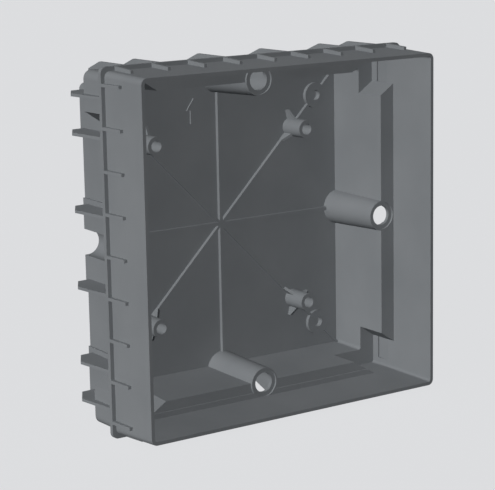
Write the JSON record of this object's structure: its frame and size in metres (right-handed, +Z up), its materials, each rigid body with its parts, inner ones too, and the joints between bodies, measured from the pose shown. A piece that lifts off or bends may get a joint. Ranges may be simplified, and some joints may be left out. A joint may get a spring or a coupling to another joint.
{
  "type": "flush mounting box",
  "caption": "Square one-piece flush mounting box, open to the front, with a flanged collar, outside ribs and fins, and inner screw tubes and bosses.",
  "frame": {"origin": "middle of the box's bounding box, at its lowest level", "axes": "+Z up as the box is set in a wall, -Y out of the open front, +X to the right as seen from the front"},
  "size_m": [0.1808, 0.0694, 0.1764],
  "materials": {
    "moulding": "fine matt, as moulded"
  },
  "bodies": {
    "root": {"flush_box": "moulding"}
  },
  "joints": []
}
